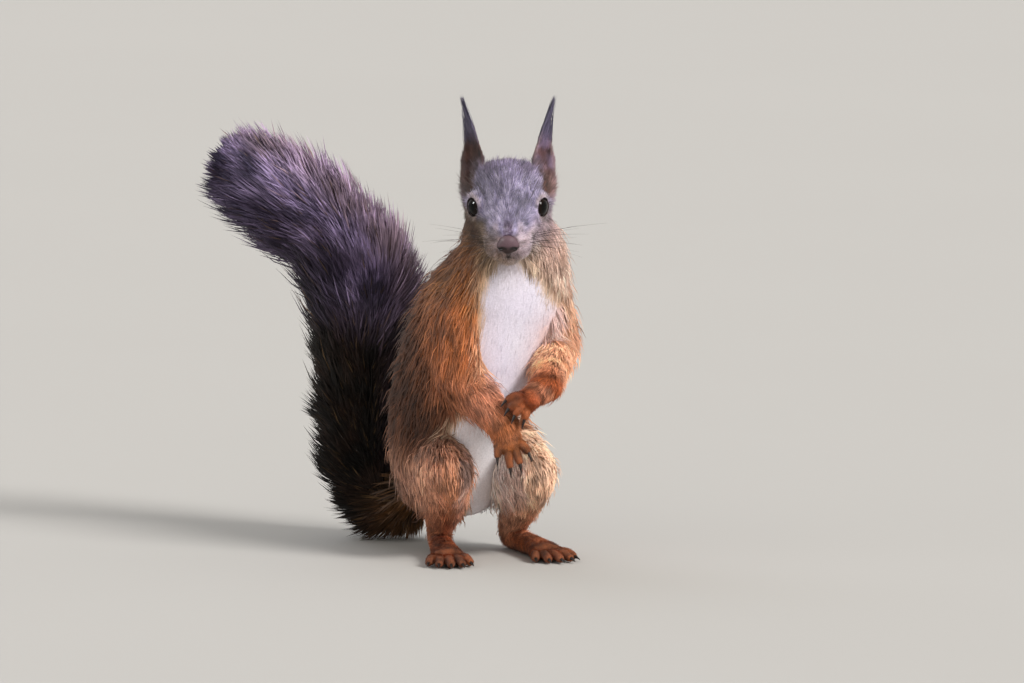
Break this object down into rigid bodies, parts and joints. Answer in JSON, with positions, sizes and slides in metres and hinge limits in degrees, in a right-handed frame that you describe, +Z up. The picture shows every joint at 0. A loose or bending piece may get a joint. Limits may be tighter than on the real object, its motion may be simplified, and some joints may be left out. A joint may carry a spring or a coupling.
{
  "type": "red squirrel model",
  "caption": "Still life-size red squirrel, upright on its hind legs with forepaws hanging, tufted ears and a raised bushy tail.",
  "frame": {"origin": "on the floor, under the middle of the animal's box, ear tufts and tail included", "axes": "+Z up; the face looks along -Y and the animal's left side is towards +X, with the tail towards -X"},
  "size_m": [0.1624, 0.1152, 0.1944],
  "materials": {
    "fur_rust": "matte",
    "fur_head": "matte",
    "fur_white": "matte",
    "fur_tail": "matte",
    "fur_ear": "matte",
    "fur_paw": "matte",
    "nose_skin": "satin",
    "eye": "gloss",
    "claw": "satin"
  },
  "bodies": {
    "root": {"head": "fur_head", "neck": "fur_rust", "chest": "fur_white", "belly": "fur_white", "ear_right": "fur_ear", "ear_left": "fur_ear", "nose": "nose_skin", "eye_right": "eye", "eye_left": "eye", "tail_base": "fur_tail", "tail_middle": "fur_tail", "tail_tip": "fur_tail", "upper_arm_right": "fur_rust", "forearm_right": "fur_rust", "shank_right": "fur_rust", "thigh_right": "fur_rust", "hand_right": "fur_paw", "foot_right": "fur_paw", "claw_hand_right_1": "claw", "claw_hand_right_2": "claw", "claw_hand_right_3": "claw", "claw_hand_right_4": "claw", "claw_foot_right_1": "claw", "claw_foot_right_2": "claw", "claw_foot_right_3": "claw", "claw_foot_right_4": "claw", "claw_foot_right_5": "claw", "upper_arm_left": "fur_rust", "forearm_left": "fur_rust", "shank_left": "fur_rust", "thigh_left": "fur_rust", "hand_left": "fur_paw", "foot_left": "fur_paw", "claw_hand_left_1": "claw", "claw_hand_left_2": "claw", "claw_hand_left_3": "claw", "claw_hand_left_4": "claw", "claw_foot_left_1": "claw", "claw_foot_left_2": "claw", "claw_foot_left_3": "claw", "claw_foot_left_4": "claw", "claw_foot_left_5": "claw"}
  },
  "joints": []
}
